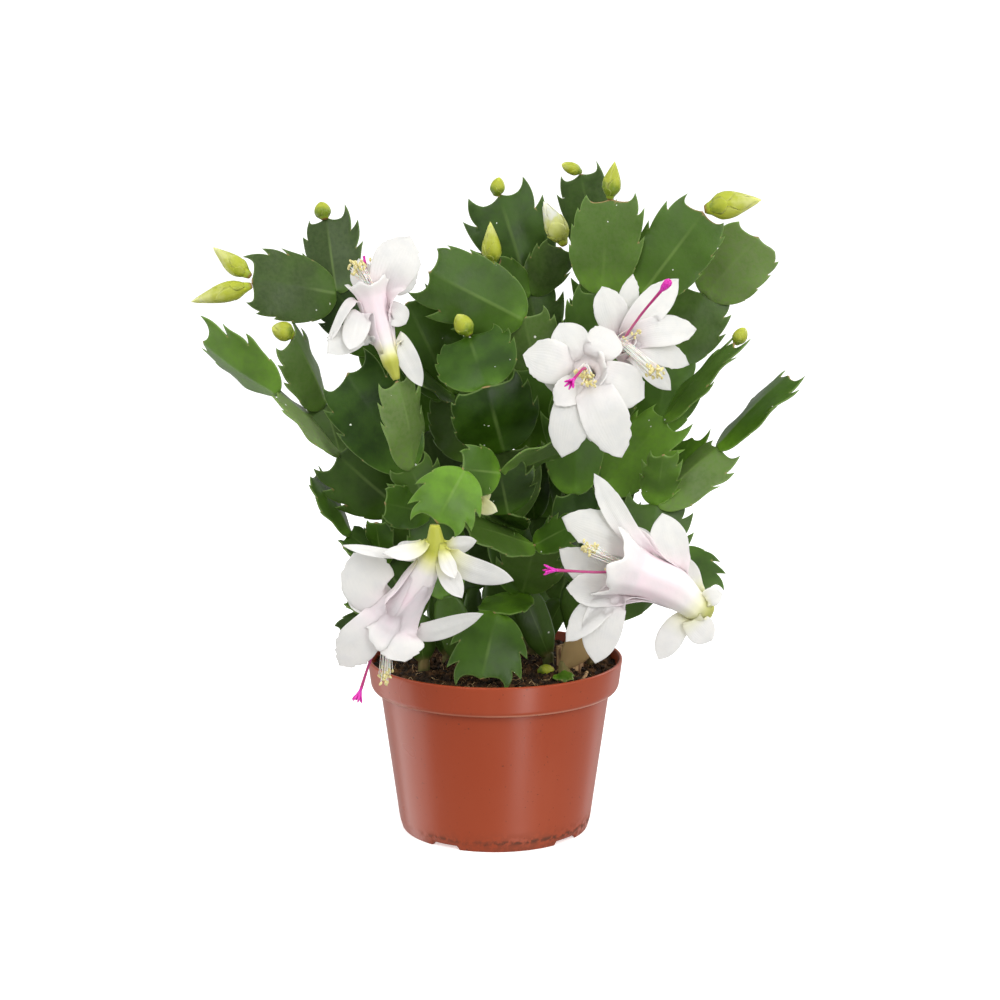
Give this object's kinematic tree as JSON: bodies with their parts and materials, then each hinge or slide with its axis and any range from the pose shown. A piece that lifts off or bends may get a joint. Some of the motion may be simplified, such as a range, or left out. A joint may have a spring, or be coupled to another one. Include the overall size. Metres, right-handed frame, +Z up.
{
  "type": "potted christmas cactus",
  "caption": "Christmas cactus in a round nursery pot: branching flat toothed stem segments with yellow-green buds and white blooms.",
  "frame": {"origin": "on the table under the centre of the pot, which is also the middle of the part's outline seen from above", "axes": "+Z up; in the picture's view +X is to the right and +Y away from the viewer"},
  "size_m": [0.2764, 0.1921, 0.3127],
  "materials": {
    "pot": "satin",
    "soil": "matte",
    "stem": "satin",
    "bud": "satin",
    "petal": "satin",
    "style": "satin",
    "stamen": "matte",
    "cork": "matte"
  },
  "bodies": {
    "root": {"pot": "pot", "soil": "soil", "old_stub": "cork", "fallen_bud": "bud", "leaf_bit": "stem", "twig": "cork", "shoot_left": "stem", "shoot_left_tall": "stem", "shoot_left_front": "stem", "shoot_left_low": "stem", "shoot_centre": "stem", "shoot_top": "stem", "shoot_right_top": "stem", "shoot_right": "stem", "shoot_right_low": "stem", "shoot_back_left": "stem", "shoot_back_right": "stem", "shoot_back": "stem", "bud_left_edge": "bud", "bud_left_upper": "bud", "bud_left_lower": "bud", "bud_left_tall": "bud", "bud_centre": "bud", "bud_pointed": "bud", "bud_top": "bud", "bud_opening": "bud", "bud_top_right": "bud", "bud_tall": "bud", "bud_large": "bud", "bud_right_edge": "bud", "bud_back_left": "bud", "bud_back": "bud", "bud_back_right": "bud", "bloom_left_upper": "petal", "bloom_left_upper_style": "style", "bloom_left_upper_stamens": "stamen", "bloom_right_upper": "petal", "bloom_right_upper_style": "style", "bloom_right_upper_stamens": "stamen", "bloom_right_lower": "petal", "bloom_right_lower_style": "style", "bloom_right_lower_stamens": "stamen", "bloom_hanging": "petal", "bloom_hanging_style": "style", "bloom_hanging_stamens": "stamen", "bloom_low_right": "petal", "bloom_low_right_style": "style", "bloom_low_right_stamens": "stamen", "bloom_young": "petal"}
  },
  "joints": []
}
